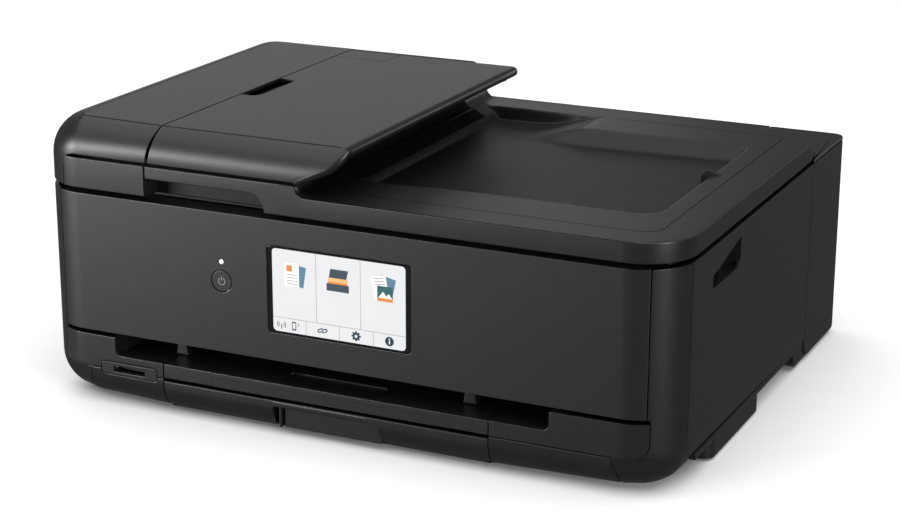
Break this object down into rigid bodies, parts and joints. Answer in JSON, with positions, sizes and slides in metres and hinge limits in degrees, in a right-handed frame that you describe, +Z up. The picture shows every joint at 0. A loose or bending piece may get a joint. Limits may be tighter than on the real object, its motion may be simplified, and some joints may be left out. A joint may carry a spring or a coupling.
{
  "type": "inkjet printer",
  "caption": "Compact black multifunction inkjet printer with flatbed scanner, sheet feeder, tilting touch panel, paper cassette and sliding output tray.",
  "frame": {"origin": "centre of the base on the floor", "axes": "+X to the right seen from the front, +Y to the rear, +Z up; the front faces -Y"},
  "size_m": [0.438, 0.351, 0.19],
  "materials": {
    "case_black": "fine-grained satin",
    "inner_black": "matte",
    "dark_grey": "matte",
    "foot_rubber": "matte",
    "steel_sheet": "galvanised",
    "steel_rod": "ground",
    "display_face": "glossy",
    "lamp_white": "glossy",
    "scan_glass": "glossy",
    "pad_white": "soft foam",
    "roller_rubber": "matte",
    "gear_white": "satin",
    "board_green": "solder mask",
    "ink_black": "glossy",
    "ink_cyan": "glossy",
    "ink_magenta": "glossy",
    "ink_yellow": "glossy"
  },
  "bodies": {
    "base": {"base_tray": "inner_black", "rubber_feet": "foot_rubber", "front_frame": "case_black", "left_side_cover": "case_black", "right_side_cover": "case_black", "card_slot_block": "case_black", "right_front_block": "case_black", "lower_front_cover": "case_black", "rear_left_corner": "case_black", "rear_right_corner": "case_black", "rear_panel": "case_black", "chassis_frame": "steel_sheet", "carriage_rail": "steel_rod", "platen": "inner_black", "rear_paper_bed": "inner_black", "power_supply": "dark_grey", "power_inlet": "inner_black", "rear_ports": "steel_sheet", "main_board": "board_green", "purge_unit": "inner_black", "feed_motor": "steel_rod", "carriage_motor": "steel_rod", "carriage_belt": "roller_rubber"},
    "idler": {"belt_idler": "gear_white"},
    "operation_panel": {"panel_cover": "case_black", "display_module": "inner_black", "display_glass": "display_face", "status_led": "lamp_white"},
    "power_button": {"power_button": "case_black"},
    "print_carriage": {"print_carriage": "dark_grey", "print_head": "dark_grey", "wide_ink_tank": "ink_black", "black_ink_tank": "ink_black", "cyan_ink_tank": "ink_cyan", "magenta_ink_tank": "ink_magenta", "yellow_ink_tank": "ink_yellow"},
    "scanner": {"scanner_frame": "inner_black", "platen_glass": "scan_glass", "feeder_glass": "scan_glass", "scan_rail": "steel_rod"},
    "scan_carriage": {"scan_carriage": "inner_black"},
    "document_cover": {"document_cover": "case_black", "pressure_pad": "pad_white", "feeder_base": "inner_black"},
    "feeder_cover": {"feeder_cover": "case_black"},
    "document_tray": {"document_tray": "case_black"},
    "front_document_guide": {"front_document_guide": "dark_grey"},
    "rear_document_guide": {"rear_document_guide": "dark_grey"},
    "feeder_roller": {"feeder_roller": "roller_rubber"},
    "output_tray": {"output_tray": "case_black"},
    "tray_extension": {"tray_extension": "dark_grey"},
    "cassette": {"cassette": "case_black"},
    "left_cassette_guide": {"left_cassette_guide": "dark_grey"},
    "right_cassette_guide": {"right_cassette_guide": "dark_grey"},
    "feed_roller": {"feed_roller": "roller_rubber", "feed_gear": "gear_white"},
    "eject_roller": {"eject_roller": "roller_rubber"},
    "pickup_roller": {"pickup_roller": "roller_rubber"},
    "rear_tray_cover": {"rear_tray_cover": "case_black"},
    "paper_support": {"paper_support": "dark_grey"}
  },
  "joints": [
    {"name": "panel_tilt", "type": "hinge", "parent": "base", "child": "operation_panel", "pos_m": [0, -0.17, 0.1385], "axis": [-1, 0, 0], "range_deg": [0, 35]},
    {"name": "button_press", "type": "slide", "parent": "operation_panel", "child": "power_button", "axis": [0, 1, 0], "range_m": [0, 0.0012], "stiffness_N_per_m": 400},
    {"name": "scanner_open", "type": "hinge", "parent": "base", "child": "scanner", "pos_m": [0, 0.119, 0.147], "axis": [-1, 0, 0], "range_deg": [0, 28]},
    {"name": "scan_travel", "type": "slide", "parent": "scanner", "child": "scan_carriage", "axis": [1, 0, 0], "range_m": [0, 0.34]},
    {"name": "cover_open", "type": "hinge", "parent": "scanner", "child": "document_cover", "pos_m": [0, 0.119, 0.147], "axis": [-1, 0, 0], "range_deg": [0, 50]},
    {"name": "feeder_cover_open", "type": "hinge", "parent": "document_cover", "child": "feeder_cover", "pos_m": [-0.2135, 0, 0.148], "axis": [0, -1, 0], "range_deg": [0, 80]},
    {"name": "document_tray_open", "type": "hinge", "parent": "document_cover", "child": "document_tray", "pos_m": [0, 0, 0.184], "axis": [0, 1, 0], "range_deg": [0, 150]},
    {"name": "front_guide_slide", "type": "slide", "parent": "document_cover", "child": "front_document_guide", "axis": [0, 1, 0], "range_m": [0, 0.045]},
    {"name": "rear_guide_slide", "type": "slide", "parent": "document_cover", "child": "rear_document_guide", "axis": [0, -1, 0], "range_m": [0, 0.045]},
    {"name": "feeder_roller_spin", "type": "hinge", "parent": "document_cover", "child": "feeder_roller", "pos_m": [-0.148, -0.03, 0.1775], "axis": [0, 1, 0], "continuous": true},
    {"name": "output_tray_slide", "type": "slide", "parent": "base", "child": "output_tray", "axis": [0, -1, 0], "range_m": [0, 0.11]},
    {"name": "extension_slide", "type": "slide", "parent": "output_tray", "child": "tray_extension", "axis": [0, -1, 0], "range_m": [0, 0.08]},
    {"name": "cassette_slide", "type": "slide", "parent": "base", "child": "cassette", "axis": [0, -1, 0], "range_m": [0, 0.22]},
    {"name": "left_cassette_guide_slide", "type": "slide", "parent": "cassette", "child": "left_cassette_guide", "axis": [1, 0, 0], "range_m": [0, 0.05]},
    {"name": "right_cassette_guide_slide", "type": "slide", "parent": "cassette", "child": "right_cassette_guide", "axis": [-1, 0, 0], "range_m": [0, 0.05]},
    {"name": "carriage_slide", "type": "slide", "parent": "base", "child": "print_carriage", "axis": [-1, 0, 0], "range_m": [0, 0.244]},
    {"name": "idler_spin", "type": "hinge", "parent": "base", "child": "idler", "pos_m": [0.186, 0.0346, 0.089], "axis": [0, 0, 1], "continuous": true},
    {"name": "feed_roller_spin", "type": "hinge", "parent": "base", "child": "feed_roller", "pos_m": [0, 0.018, 0.043], "axis": [1, 0, 0], "continuous": true},
    {"name": "eject_roller_spin", "type": "hinge", "parent": "base", "child": "eject_roller", "pos_m": [0, -0.058, 0.043], "axis": [1, 0, 0], "continuous": true},
    {"name": "pickup_roller_spin", "type": "hinge", "parent": "base", "child": "pickup_roller", "pos_m": [-0.012, 0.07, 0.037], "axis": [1, 0, 0], "continuous": true},
    {"name": "rear_cover_open", "type": "hinge", "parent": "base", "child": "rear_tray_cover", "pos_m": [0, 0.172, 0.1415], "axis": [-1, 0, 0], "range_deg": [0, 100]},
    {"name": "paper_support_rise", "type": "hinge", "parent": "base", "child": "paper_support", "pos_m": [0, 0.168, 0.136], "axis": [-1, 0, 0], "range_deg": [0, 80]}
  ],
  "couplings": [
    {"joint": "rear_guide_slide", "follows": "front_guide_slide", "ratio": 1},
    {"joint": "right_cassette_guide_slide", "follows": "left_cassette_guide_slide", "ratio": 1},
    {"joint": "eject_roller_spin", "follows": "feed_roller_spin", "ratio": 1.1},
    {"joint": "paper_support_rise", "follows": "rear_cover_open", "ratio": 0.8}
  ]
}
